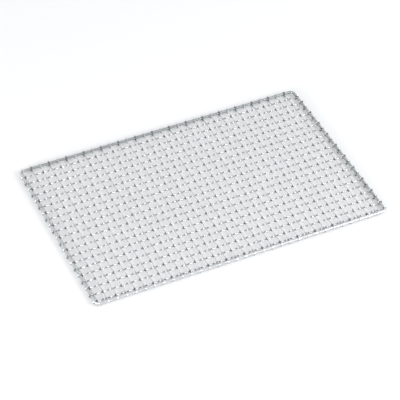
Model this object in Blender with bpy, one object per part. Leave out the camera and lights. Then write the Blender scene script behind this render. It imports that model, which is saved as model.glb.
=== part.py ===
"""A rectangular grill net: crimped wires woven over and under each other, with their ends wrapped round a rim wire.

The net lies flat with its long side along X. The origin is at the middle of its footprint, on the surface
that it rests on. All lengths are in metres.
"""

import math

import bpy

# Driving dimensions.
NET_LENGTH = 0.300  # along X, over the rim wire
NET_WIDTH = 0.200  # along Y, over the rim wire
RIM_DIAMETER = 0.0026
RIM_CORNER_RADIUS = 0.0040  # at the centre of the rim wire
WIRE_DIAMETER = 0.0011
PITCH = 0.0092  # from one mesh wire to the next
SHORT_WIRES = 32  # these run along Y, counted from the left
LONG_WIRES = 21  # these run along X, counted from the front
LEFT_MARGIN = 0.0024  # from the rim's centre line to the first short wire
FRONT_MARGIN = 0.0030  # from the rim's centre line to the first long wire
LONG_UP_FIRST = 1  # the first long wire passes over the first short wire
CLEARANCE = 0.00015  # kept on each side where two wires bear on each other

# How the round wires are faceted, and how far each end is wrapped round the rim.
WIRE_SIDES = 6
WIRE_TILT = 0.0
RIM_SIDES = 12
RIM_TILT = math.pi / RIM_SIDES
CORNER_STEPS = 4
WRAP_START = math.radians(-30)
WRAP_STEP = math.radians(60)
WRAP_POINTS = 5
WRAP_TAIL = 0.0012  # the straight end past the wrap, flat against the table when it lies underneath


def corner_radius(diameter, sides):
    """The corner radius of a regular polygon with the area of a round wire."""
    return diameter / 2 * math.sqrt(math.tau / (sides * math.sin(math.tau / sides)))


def flat_radius(diameter, sides):
    """The distance from the middle of that polygon to its flats."""
    return corner_radius(diameter, sides) * math.cos(math.pi / sides)


SPAN_X = NET_LENGTH - RIM_DIAMETER  # between the centre lines of the rim's two short sides
SPAN_Y = NET_WIDTH - RIM_DIAMETER
CRIMP_HEIGHT = flat_radius(WIRE_DIAMETER, WIRE_SIDES) + CLEARANCE  # a wire's middle above or below the net's
WRAP_HEIGHT = corner_radius(RIM_DIAMETER, RIM_SIDES) + CLEARANCE + flat_radius(WIRE_DIAMETER, WIRE_SIDES)
WRAP_RADIUS = WRAP_HEIGHT / math.cos(WRAP_STEP / 2)  # at the wrap's corners
MIDDLE_HEIGHT = WRAP_HEIGHT + flat_radius(WIRE_DIAMETER, WIRE_SIDES)  # the net rests on its wraps


def steel(name, colour, roughness):
    material = bpy.data.materials.new(name)
    material.use_nodes = True
    shader = material.node_tree.nodes["Principled BSDF"]
    shader.inputs["Base Color"].default_value = (*colour, 1.0)
    shader.inputs["Metallic"].default_value = 1.0
    shader.inputs["Roughness"].default_value = roughness
    return material


def add_wire(name, points, diameter, sides, tilt, material, collection):
    """A wire bent along these points. The tilt turns its facets, so that it is flat at its top and bottom."""
    curve = bpy.data.curves.new(name, "CURVE")
    curve.dimensions = "3D"
    curve.twist_mode = "MINIMUM"
    curve.bevel_depth = corner_radius(diameter, sides)
    curve.bevel_resolution = sides // 2 - 2
    curve.use_fill_caps = True
    curve.materials.append(material)
    spline = curve.splines.new("POLY")
    spline.points.add(len(points) - 1)
    spline.use_smooth = True
    for place, point in zip(spline.points, points):
        place.co = (*point, 1.0)
        place.tilt = tilt
    wire = bpy.data.objects.new(name, curve)
    collection.objects.link(wire)
    return wire


def rim_setback(offset, span):
    """How far inside the rim's straight line its corner bend lies, for a wire at this offset along the side."""
    from_corner = min(offset, span - offset) + WIRE_DIAMETER / 2
    short_of_bend = max(RIM_CORNER_RADIUS - from_corner, 0.0)
    return RIM_CORNER_RADIUS - math.sqrt(RIM_CORNER_RADIUS**2 - short_of_bend**2)


def wrap(rim_x, outward, first_up):
    """Points round the rim, from where the wire meets it: over it and back under, or under it and back over."""
    points = []
    for step in range(WRAP_POINTS):
        angle = WRAP_START + step * WRAP_STEP
        x = rim_x + outward * WRAP_RADIUS * math.sin(angle)
        points.append((x, 0.0, first_up * WRAP_RADIUS * math.cos(angle)))
    last_x, _, last_z = points[-1]
    points.append((last_x - outward * WRAP_TAIL, 0.0, last_z))
    return points


def mesh_wire_points(span, margin, crossings, first_up, setback):
    """A crimped wire along X, centred on x = 0, that meets its first crossing this margin from the rim."""
    start = -span / 2 + margin
    end_margin = span - margin - (crossings - 1) * PITCH
    crimps = []
    for index in range(crossings):
        up = first_up * (-1) ** index
        crimps.append((start + index * PITCH, 0.0, up * CRIMP_HEIGHT))
    last_up = first_up * (-1) ** (crossings - 1)
    start_up = first_up if margin < PITCH / 2 else -first_up
    end_up = last_up if end_margin < PITCH / 2 else -last_up
    before = wrap(-span / 2 + setback, -1, start_up)
    after = wrap(span / 2 - setback, 1, end_up)
    return before[::-1] + crimps + after


def rim_points():
    """A rectangle with round corners, anticlockwise from the back right corner."""
    across = SPAN_X / 2 - RIM_CORNER_RADIUS
    along = SPAN_Y / 2 - RIM_CORNER_RADIUS
    points = []
    for quarter, (side_x, side_y) in enumerate(((1, 1), (-1, 1), (-1, -1), (1, -1))):
        for step in range(CORNER_STEPS + 1):
            angle = (quarter + step / CORNER_STEPS) * math.pi / 2
            x = side_x * across + RIM_CORNER_RADIUS * math.cos(angle)
            y = side_y * along + RIM_CORNER_RADIUS * math.sin(angle)
            points.append((x, y, 0.0))
    return points


def add_rim(material, collection):
    rim = add_wire("rim_wire", rim_points(), RIM_DIAMETER, RIM_SIDES, RIM_TILT, material, collection)
    rim.data.splines[0].use_cyclic_u = True
    rim.location = (0.0, 0.0, MIDDLE_HEIGHT)


def add_long_wires(material, collection):
    for index in range(LONG_WIRES):
        offset = FRONT_MARGIN + index * PITCH
        setback = rim_setback(offset, SPAN_Y)
        first_up = LONG_UP_FIRST * (-1) ** index
        points = mesh_wire_points(SPAN_X, LEFT_MARGIN, SHORT_WIRES, first_up, setback)
        name = f"long_wire_{index + 1:02d}"
        wire = add_wire(name, points, WIRE_DIAMETER, WIRE_SIDES, WIRE_TILT, material, collection)
        wire.location = (0.0, -SPAN_Y / 2 + offset, MIDDLE_HEIGHT)


def add_short_wires(material, collection):
    for index in range(SHORT_WIRES):
        offset = LEFT_MARGIN + index * PITCH
        setback = rim_setback(offset, SPAN_X)
        first_up = -LONG_UP_FIRST * (-1) ** index
        points = mesh_wire_points(SPAN_Y, FRONT_MARGIN, LONG_WIRES, first_up, setback)
        name = f"short_wire_{index + 1:02d}"
        wire = add_wire(name, points, WIRE_DIAMETER, WIRE_SIDES, WIRE_TILT, material, collection)
        wire.location = (-SPAN_X / 2 + offset, 0.0, MIDDLE_HEIGHT)
        wire.rotation_euler = (0.0, 0.0, math.pi / 2)


def main():
    for item in list(bpy.data.objects):
        bpy.data.objects.remove(item)
    net = bpy.data.collections.new("grill_net")
    bpy.context.scene.collection.children.link(net)
    add_rim(steel("rim_steel", (0.50, 0.53, 0.53), 0.32), net)
    add_long_wires(steel("long_wire_steel", (0.74, 0.75, 0.77), 0.30), net)
    add_short_wires(steel("short_wire_steel", (0.74, 0.75, 0.77), 0.30), net)


main()
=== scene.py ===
"""The look of the wire grill net: round crimped wires, their wrapped ends and the rim, on a pale floor.

Every CAD wire is replaced by a round one. A mesh wire keeps its crossings and its wraps, is bent smoothly,
and has more crimps between its crossings. The routes are worked out from the frame: the rim wire's box, and
the middle of each mesh wire's box.
"""

import math
import random

import bpy
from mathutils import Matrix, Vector


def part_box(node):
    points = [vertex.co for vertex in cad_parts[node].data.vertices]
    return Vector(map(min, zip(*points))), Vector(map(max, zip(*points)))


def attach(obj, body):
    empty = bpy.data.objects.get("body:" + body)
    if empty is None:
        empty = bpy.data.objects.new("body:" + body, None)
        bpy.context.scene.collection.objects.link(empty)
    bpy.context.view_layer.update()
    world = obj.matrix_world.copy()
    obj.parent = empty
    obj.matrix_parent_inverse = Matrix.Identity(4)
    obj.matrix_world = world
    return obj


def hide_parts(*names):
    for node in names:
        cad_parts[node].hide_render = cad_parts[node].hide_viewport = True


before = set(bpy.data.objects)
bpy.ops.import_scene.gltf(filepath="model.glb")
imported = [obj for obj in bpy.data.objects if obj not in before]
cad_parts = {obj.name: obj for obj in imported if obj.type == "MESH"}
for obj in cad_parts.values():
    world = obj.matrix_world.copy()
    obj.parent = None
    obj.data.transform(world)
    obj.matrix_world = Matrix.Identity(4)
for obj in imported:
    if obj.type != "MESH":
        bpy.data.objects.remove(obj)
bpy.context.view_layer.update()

# Sizes that the frame's boxes don't give, in metres.
RIM_DIAMETER = 0.0026
RIM_CORNER_RADIUS = 0.0040
WIRE_DIAMETER = 0.0011
LONG_UP_FIRST = 1  # the first long wire passes over the first short wire
SHORT_UP_FIRST = -LONG_UP_FIRST
TOUCH_GAP = 0.00002  # between wires that bear on each other

# How finely the wires are bent and rounded. The lead is the stretch from the last crossing to the wrap.
STEPS_PER_PITCH = 24
WIRE_SIDES = 10
RIM_SIDES = 24
CORNER_STEPS = 12
LEAD_STEPS = 8
WRAP_STEPS = 18
TAIL_STEPS = 3

# How the wires are bent. The wrap's angles are measured round the rim, from straight above or below it.
CRIMPS_PER_PITCH = 3  # a wire goes up or down this often from one crossing to the next
WRAP_START = math.radians(-32)
WRAP_END = math.radians(212)
TAIL_LENGTH = 0.0012
WANDER = 0.00006  # how far a wire strays sideways
WANDER_TURNS = (0.5, 2.5)  # how often it strays to and fro along its length

# The camera, at the photograph's viewing angle.
CAMERA_PLACE = (-0.5231, -1.1457, 1.1497)
CAMERA_TURN = (47.377, 0.093, -24.595)  # degrees about X, Y and Z
CAMERA_LENS = 159.12
CAMERA_REACH = 20.0

# The studio. Heights in the sky run from 0 at the horizon to 1 overhead.
FLOOR_SIZE = 6.0
FLOOR_TONE = 0.84
FLOOR_ROUGHNESS = 0.9
SKY_TINT = (0.975, 0.985, 1.0)
SKY_AT_HORIZON = 0.86
SKY_AT_HALF_HEIGHT = 1.05
SKY_OVERHEAD = 0.7
HORIZON_BAND = (0.05, 0.40)
OVERHEAD_BAND = (0.75, 0.97)
SOFTBOX_DISTANCE = 1.5
SOFTBOX_SIZE = 0.6
# Each softbox's name, its azimuth and height in degrees, and its power in watts.
SOFTBOXES = (("front_right", 318.0, 28.0, 10.0), ("low_left", 205.0, 8.0, 20.0))

# The steel: a light and a dark tone of each colour, and the range of its roughness.
MESH_TONES = ((0.80, 0.81, 0.82), (0.71, 0.72, 0.73))
MESH_ROUGHNESS = (0.16, 0.30)
LONG_STREAKS = (60.0, 4000.0, 4000.0)  # fine across a wire and stretched along it
SHORT_STREAKS = (4000.0, 60.0, 4000.0)
# The rim's tones are painted light and shade: darkest at the back and on the right, lighter on the left,
# brightest in front.
RIM_BACK_PAINTED_SHADE_TONES = ((0.44, 0.47, 0.47), (0.35, 0.38, 0.38))
RIM_LEFT_PAINTED_LIGHT_TONES = ((0.62, 0.635, 0.635), (0.53, 0.545, 0.545))
RIM_FRONT_PAINTED_LIGHT_TONES = ((0.76, 0.77, 0.78), (0.67, 0.68, 0.69))
RIM_ROUGHNESS = (0.20, 0.34)
RIM_STREAKS = (300.0, 300.0, 300.0)
RIM_BLEND = 0.012  # how far a side's tone reaches round its corners
STREAK_DETAIL = 4.0
CLOUD_SCALE = 45.0
CLOUD_DETAIL = 3.0
CLOUD_SHARES = (0.2, 1.0)  # the least and the most of the light tone
PIT_SCALE = 2600.0
PIT_DETAIL = 2.0
NOISE_BAND = (0.3, 0.7)  # where most of a noise texture's values lie
RELIEF_DEPTH = 0.00002
RELIEF_STRENGTH = 0.25

# Painted shade on the mesh wires, as dark marks from 0 to 1. A mark fades in from its edge to its core.
PAINTED_SHADE_COLOUR = (0.10, 0.105, 0.11)
SHADE_OVER = 0.88  # where a long wire lies on a short one
SHADE_UNDER = 0.3  # where it lies under it
SHADE_EDGE = 0.68
SHADE_CORE = 0.92
CREST_SHADE = 0.70  # painted shade along a long wire, near each crest of its crimps
CREST_SHIFT = -0.1  # from a crest to the middle of its mark, in pitches along X
CREST_EDGE = 0.3
CREST_CORE = 0.85
MARK_ROUGHNESS = 0.2

# The sockets of a Mix node that it uses for colours.
MIX_SHARE = 0
MIX_FIRST = 6
MIX_SECOND = 7
MIX_RESULT = 2


def middle(node):
    low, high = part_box(node)
    return (low + high) / 2


def even_offsets(prefix, count, axis):
    """Where the wires of one kind lie across their length, in order, from the frame's boxes."""
    return [middle(f"{prefix}_{index + 1:02d}")[axis] for index in range(count)]


def count_of(nodes, prefix):
    return sum(1 for name in nodes if name.startswith(prefix))


def ease(share):
    return share * share * (3.0 - 2.0 * share)


def crimp_height(share):
    """A wire's height at this share of the way from a crossing where it is up to one where it is down."""
    return math.cos(CRIMPS_PER_PITCH * math.pi * share)


def wrap_route(margin, level, crimp, next_level, pitch):
    """(distance outward, height) from the last crossing, over or under the rim, round it and back.

    A wire that meets the rim on the other side than its last crossing has room for one more crimp first.
    """
    reach = (RIM_DIAMETER + WIRE_DIAMETER) / 2 + TOUCH_GAP
    route = []
    lead_out, lead_height = 0.0, level * crimp
    if next_level != level:
        for step in range(1, LEAD_STEPS + 1):
            share = step / LEAD_STEPS / CRIMPS_PER_PITCH
            lead_out, lead_height = pitch * share, level * crimp * crimp_height(share)
            route.append((lead_out, lead_height))
    start_out = margin + reach * math.sin(WRAP_START)
    start_height = next_level * reach * math.cos(WRAP_START)
    for step in range(1, LEAD_STEPS):
        share = step / LEAD_STEPS
        out = lead_out + (start_out - lead_out) * share
        route.append((out, lead_height + (start_height - lead_height) * ease(share)))
    for step in range(WRAP_STEPS + 1):
        angle = WRAP_START + (WRAP_END - WRAP_START) * step / WRAP_STEPS
        route.append((margin + reach * math.sin(angle), next_level * reach * math.cos(angle)))
    last_out, last_height = route[-1]
    floor_height = -next_level * reach
    for step in range(1, TAIL_STEPS + 1):
        share = step / TAIL_STEPS
        route.append((last_out - TAIL_LENGTH * share, last_height + (floor_height - last_height) * share))
    return route


def wire_route(places, rim_low, rim_high, up_first):
    """(along, height) of every point of one crimped wire, from one wrapped end to the other."""
    crimp = WIRE_DIAMETER / 2 + TOUCH_GAP
    pitch = (places[-1] - places[0]) / (len(places) - 1)
    levels = [up_first * (-1) ** index for index in range(len(places))]
    low_margin, high_margin = places[0] - rim_low, rim_high - places[-1]
    low_level = levels[0] if low_margin < pitch / 2 else -levels[0]
    high_level = levels[-1] if high_margin < pitch / 2 else -levels[-1]
    low_end = wrap_route(low_margin, levels[0], crimp, low_level, pitch)
    high_end = wrap_route(high_margin, levels[-1], crimp, high_level, pitch)
    before = [(places[0] - out, height) for out, height in low_end]
    after = [(places[-1] + out, height) for out, height in high_end]
    crimps = []
    for index in range(len(places) - 1):
        for step in range(STEPS_PER_PITCH):
            share = step / STEPS_PER_PITCH
            along = places[index] + share * (places[index + 1] - places[index])
            crimps.append((along, levels[index] * crimp * crimp_height(share)))
    crimps.append((places[-1], levels[-1] * crimp))
    return before[::-1] + crimps + after


def tube_mesh(name, points, radius, sides, closed, across):
    """A round tube along these points. Across is a direction that the route never runs along."""
    count = len(points)
    vertices = []
    for index, point in enumerate(points):
        before = points[index - 1] if index or closed else point
        after = points[(index + 1) % count] if index < count - 1 or closed else point
        along = (after - before).normalized()
        side = (across - along * across.dot(along)).normalized()
        top = along.cross(side)
        for corner in range(sides):
            angle = math.tau * corner / sides
            vertices.append(point + (side * math.cos(angle) + top * math.sin(angle)) * radius)
    faces = []
    for ring in range(count if closed else count - 1):
        here, there = ring * sides, (ring + 1) % count * sides
        for corner in range(sides):
            beside = (corner + 1) % sides
            faces.append((here + corner, here + beside, there + beside, there + corner))
    if not closed:
        faces.append(tuple(range(sides - 1, -1, -1)))
        faces.append(tuple((count - 1) * sides + corner for corner in range(sides)))
    mesh = bpy.data.meshes.new(name)
    mesh.from_pydata(vertices, [], faces)
    mesh.shade_smooth()
    return mesh


def add_piece(name, mesh, material, node):
    mesh.materials.append(material)
    piece = bpy.data.objects.new(name, mesh)
    bpy.context.scene.collection.objects.link(piece)
    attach(piece, "root")
    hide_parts(node)


def wander(chance, count):
    """A slow sideways drift along a wire, as two random waves."""
    waves = [(chance.uniform(*WANDER_TURNS), chance.uniform(0.0, math.tau)) for _ in range(2)]
    drift = []
    for index in range(count):
        share = index / (count - 1)
        drift.append(WANDER * sum(math.sin(math.tau * turns * share + phase) for turns, phase in waves) / 2)
    return drift


def add_mesh_wires(material, prefix, lines, crossings, rim_span, up_first, along_x, height):
    """Every wire of one kind. Lines are where the wires lie, and crossings where the others cross them."""
    chance = random.Random(prefix)
    across = Vector((0.0, 1.0, 0.0)) if along_x else Vector((1.0, 0.0, 0.0))
    for index, line in enumerate(lines):
        route = wire_route(crossings, rim_span[0], rim_span[1], up_first * (-1) ** index)
        drift = wander(chance, len(route))
        points = []
        for (along, rise), stray in zip(route, drift):
            place = (along, line + stray) if along_x else (line + stray, along)
            points.append(Vector((*place, height + rise)))
        node = f"{prefix}_{index + 1:02d}"
        mesh = tube_mesh(f"{node}_round", points, WIRE_DIAMETER / 2, WIRE_SIDES, False, across)
        add_piece(f"{node}_round", mesh, material, node)


def add_rim(material, rim_x, rim_y, height):
    points = []
    for quarter, (side_x, side_y) in enumerate(((1, 1), (-1, 1), (-1, -1), (1, -1))):
        for step in range(CORNER_STEPS + 1):
            angle = (quarter + step / CORNER_STEPS) * math.pi / 2
            x = side_x * (rim_x - RIM_CORNER_RADIUS) + RIM_CORNER_RADIUS * math.cos(angle)
            y = side_y * (rim_y - RIM_CORNER_RADIUS) + RIM_CORNER_RADIUS * math.sin(angle)
            points.append(Vector((x, y, height)))
    mesh = tube_mesh("rim_wire_round", points, RIM_DIAMETER / 2, RIM_SIDES, True, Vector((0.0, 0.0, 1.0)))
    add_piece("rim_wire_round", mesh, material, "rim_wire")


def new_node(tree, kind, **settings):
    node = tree.nodes.new(kind)
    for name, value in settings.items():
        setattr(node, name, value)
    return node


def noise(tree, coordinates, stretch, scale, detail):
    """Noise over the object, stretched by these factors along X, Y and Z."""
    mapping = new_node(tree, "ShaderNodeMapping")
    mapping.inputs["Scale"].default_value = stretch
    texture = new_node(tree, "ShaderNodeTexNoise")
    texture.inputs["Scale"].default_value = scale
    texture.inputs["Detail"].default_value = detail
    tree.links.new(coordinates.outputs["Object"], mapping.inputs["Vector"])
    tree.links.new(mapping.outputs["Vector"], texture.inputs["Vector"])
    return texture


def ranged(tree, value, low, high, from_low=NOISE_BAND[0], from_high=NOISE_BAND[1]):
    """From low to high, while the value goes from from_low to from_high."""
    node = new_node(tree, "ShaderNodeMapRange")
    node.inputs["From Min"].default_value = from_low
    node.inputs["From Max"].default_value = from_high
    node.inputs["To Min"].default_value = low
    node.inputs["To Max"].default_value = high
    tree.links.new(value, node.inputs["Value"])
    return node.outputs["Result"]


def math_node(tree, operation, *values):
    """One math node over these values, each of them a number or another node's output."""
    node = new_node(tree, "ShaderNodeMath", operation=operation)
    for socket, value in zip(node.inputs, values):
        if isinstance(value, float):
            socket.default_value = value
        else:
            tree.links.new(value, socket)
    return node.outputs["Value"]


def mixed_colour(tree, share, first, second):
    """A colour between these two, each of them a colour or another node's output."""
    node = new_node(tree, "ShaderNodeMix", data_type="RGBA")
    tree.links.new(share, node.inputs[MIX_SHARE])
    for socket, colour in zip((node.inputs[MIX_FIRST], node.inputs[MIX_SECOND]), (first, second)):
        if isinstance(colour, tuple):
            socket.default_value = (*colour, 1.0)
        else:
            tree.links.new(colour, socket)
    return node.outputs[MIX_RESULT]


def separate(tree, coordinates, kind="Object"):
    split = new_node(tree, "ShaderNodeSeparateXYZ")
    tree.links.new(coordinates.outputs[kind], split.inputs["Vector"])
    return split.outputs


def start_steel(name):
    """A bare metal material, its node tree, and the coordinates that its textures use."""
    material = bpy.data.materials.new(name)
    material.use_nodes = True
    tree = material.node_tree
    tree.nodes["Principled BSDF"].inputs["Metallic"].default_value = 1.0
    return material, tree, new_node(tree, "ShaderNodeTexCoord")


def clouded(tree, coordinates, light, dark):
    """A cloudy mixture of a light and a dark tone."""
    clouds = noise(tree, coordinates, (1.0, 1.0, 1.0), CLOUD_SCALE, CLOUD_DETAIL)
    return mixed_colour(tree, ranged(tree, clouds.outputs["Fac"], *CLOUD_SHARES), dark, light)


def finish_steel(tree, coordinates, colour, roughness, streaks):
    """Join up the shader, with a relief of streaks left by the drawing die, and fine pits."""
    shader = tree.nodes["Principled BSDF"]
    tree.links.new(colour, shader.inputs["Base Color"])
    tree.links.new(roughness, shader.inputs["Roughness"])
    pits = noise(tree, coordinates, (1.0, 1.0, 1.0), PIT_SCALE, PIT_DETAIL)
    bump = new_node(tree, "ShaderNodeBump")
    bump.inputs["Strength"].default_value = RELIEF_STRENGTH
    bump.inputs["Distance"].default_value = RELIEF_DEPTH
    tree.links.new(math_node(tree, "ADD", streaks, pits.outputs["Fac"]), bump.inputs["Height"])
    tree.links.new(bump.outputs["Normal"], shader.inputs["Normal"])


def low_side(tree, coordinates, axis, half):
    """1 along the rim's low side on this axis, fading to 0 past its corners."""
    place = separate(tree, coordinates)[axis]
    return ranged(tree, place, 1.0, 0.0, -half, RIM_BLEND - half)


def rim_steel_painted_light(half_x, half_y):
    """The rim's steel, with painted shade at the back and on the right, a lighter painted tone on the left,
    and painted light in front.
    """
    material, tree, coordinates = start_steel("rim_steel_painted_light_look")
    # Masks for the rim's painted light on the left and in front.
    left_painted_light = low_side(tree, coordinates, "X", half_x)
    front_painted_light = low_side(tree, coordinates, "Y", half_y)
    tones = []
    for back, left, front in zip(RIM_BACK_PAINTED_SHADE_TONES, RIM_LEFT_PAINTED_LIGHT_TONES, RIM_FRONT_PAINTED_LIGHT_TONES):
        tones.append(mixed_colour(tree, front_painted_light, mixed_colour(tree, left_painted_light, back, left), front))
    streaks = noise(tree, coordinates, RIM_STREAKS, 1.0, STREAK_DETAIL).outputs["Fac"]
    roughness = ranged(tree, streaks, *RIM_ROUGHNESS)
    finish_steel(tree, coordinates, clouded(tree, coordinates, *tones), roughness, streaks)
    return material


def weave_wave(tree, coordinates, first_x, first_y, pitch, crimps):
    """A wave over the net: 1 at its first crossing, and -1 at the next along either axis.

    Along X it goes up or down this many times from one crossing to the next, like a wire's crimps.
    """
    place = separate(tree, coordinates)
    waves = []
    for axis, first, turns in (("X", first_x, crimps), ("Y", first_y, 1)):
        offset = math_node(tree, "SUBTRACT", place[axis], first)
        waves.append(math_node(tree, "COSINE", math_node(tree, "MULTIPLY", offset, turns * math.pi / pitch)))
    return math_node(tree, "MULTIPLY", *waves)


def mesh_steel_painted_shade(name, stretch, first_x, first_y, pitch, crest_shade):
    """The mesh wires' steel: bright, with painted shade as dull dark marks at the crossings and by the
    crests.
    """
    material, tree, coordinates = start_steel(name)
    crossings = weave_wave(tree, coordinates, first_x, first_y, pitch, 1)
    crests = weave_wave(tree, coordinates, first_x + CREST_SHIFT * pitch, first_y, pitch, CRIMPS_PER_PITCH)
    # Painted shade where the wires cross, and on the slope beside each crest of a long wire.
    over = ranged(tree, crossings, 0.0, SHADE_OVER - crest_shade, SHADE_EDGE, SHADE_CORE)
    under = ranged(tree, crossings, SHADE_UNDER, 0.0, -SHADE_CORE, -SHADE_EDGE)
    crest = ranged(tree, crests, 0.0, crest_shade, CREST_EDGE, CREST_CORE)
    painted_shade = math_node(tree, "ADD", math_node(tree, "ADD", over, under), crest)
    colour = mixed_colour(tree, painted_shade, clouded(tree, coordinates, *MESH_TONES), PAINTED_SHADE_COLOUR)
    streaks = noise(tree, coordinates, stretch, 1.0, STREAK_DETAIL).outputs["Fac"]
    gloss = ranged(tree, streaks, *MESH_ROUGHNESS)
    roughness = math_node(tree, "MULTIPLY_ADD", painted_shade, MARK_ROUGHNESS, gloss)
    finish_steel(tree, coordinates, colour, roughness, streaks)
    return material


def add_floor():
    bpy.ops.mesh.primitive_plane_add(size=FLOOR_SIZE)
    floor = bpy.context.object
    floor.name = "floor"
    material = bpy.data.materials.new("floor_paper")
    material.use_nodes = True
    shader = material.node_tree.nodes["Principled BSDF"]
    shader.inputs["Base Color"].default_value = (FLOOR_TONE, FLOOR_TONE, FLOOR_TONE, 1.0)
    shader.inputs["Roughness"].default_value = FLOOR_ROUGHNESS
    floor.data.materials.append(material)


def add_world():
    """A studio that is bright all round at half height, and dimmer at the horizon and overhead."""
    world = bpy.data.worlds.new("studio")
    world.use_nodes = True
    bpy.context.scene.world = world
    tree = world.node_tree
    height = separate(tree, new_node(tree, "ShaderNodeTexCoord"), "Generated")["Z"]
    rise = ranged(tree, height, SKY_AT_HORIZON, SKY_AT_HALF_HEIGHT, *HORIZON_BAND)
    fall = ranged(tree, height, 1.0, SKY_OVERHEAD / SKY_AT_HALF_HEIGHT, *OVERHEAD_BAND)
    background = tree.nodes["Background"]
    background.inputs["Color"].default_value = (*SKY_TINT, 1.0)
    tree.links.new(math_node(tree, "MULTIPLY", rise, fall), background.inputs["Strength"])


def add_softbox(name, azimuth, height, distance, size, power):
    """A square area light, aimed at the middle of the net."""
    turn, rise = math.radians(azimuth), math.radians(height)
    flat = distance * math.cos(rise)
    place = Vector((flat * math.cos(turn), flat * math.sin(turn), distance * math.sin(rise)))
    lamp = bpy.data.lights.new(name, "AREA")
    lamp.size = size
    lamp.energy = power
    softbox = bpy.data.objects.new(name, lamp)
    softbox.location = place
    softbox.rotation_euler = (-place).to_track_quat("-Z", "Y").to_euler()
    bpy.context.scene.collection.objects.link(softbox)


def add_camera():
    camera = bpy.data.objects.new("camera", bpy.data.cameras.new("camera"))
    camera.location = CAMERA_PLACE
    camera.rotation_euler = [math.radians(angle) for angle in CAMERA_TURN]
    camera.data.lens = CAMERA_LENS
    camera.data.clip_end = CAMERA_REACH
    bpy.context.scene.collection.objects.link(camera)
    bpy.context.scene.camera = camera


long_count = count_of(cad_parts, "long_wire")
short_count = count_of(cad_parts, "short_wire")
long_lines = even_offsets("long_wire", long_count, 1)
short_lines = even_offsets("short_wire", short_count, 0)
rim_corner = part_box("rim_wire")[1]
rim_height = middle("rim_wire").z
rim_x = rim_corner.x - RIM_DIAMETER / 2
rim_y = rim_corner.y - RIM_DIAMETER / 2
pitch = (short_lines[-1] - short_lines[0]) / (short_count - 1)
first_crossing = (short_lines[0], long_lines[0], pitch)

add_camera()
add_rim(rim_steel_painted_light(rim_x, rim_y), rim_x, rim_y, rim_height)
add_mesh_wires(mesh_steel_painted_shade("long_wire_steel_painted_shade", LONG_STREAKS, *first_crossing, CREST_SHADE),
               "long_wire", long_lines, short_lines, (-rim_x, rim_x),
               LONG_UP_FIRST, True, rim_height)
add_mesh_wires(mesh_steel_painted_shade("short_wire_steel_painted_shade", SHORT_STREAKS, *first_crossing, 0.0),
               "short_wire", short_lines, long_lines, (-rim_y, rim_y),
               SHORT_UP_FIRST, False, rim_height)
add_floor()
add_world()
for name, azimuth, height, power in SOFTBOXES:
    add_softbox(name, azimuth, height, SOFTBOX_DISTANCE, SOFTBOX_SIZE, power)
bpy.context.scene.view_settings.view_transform = "Standard"
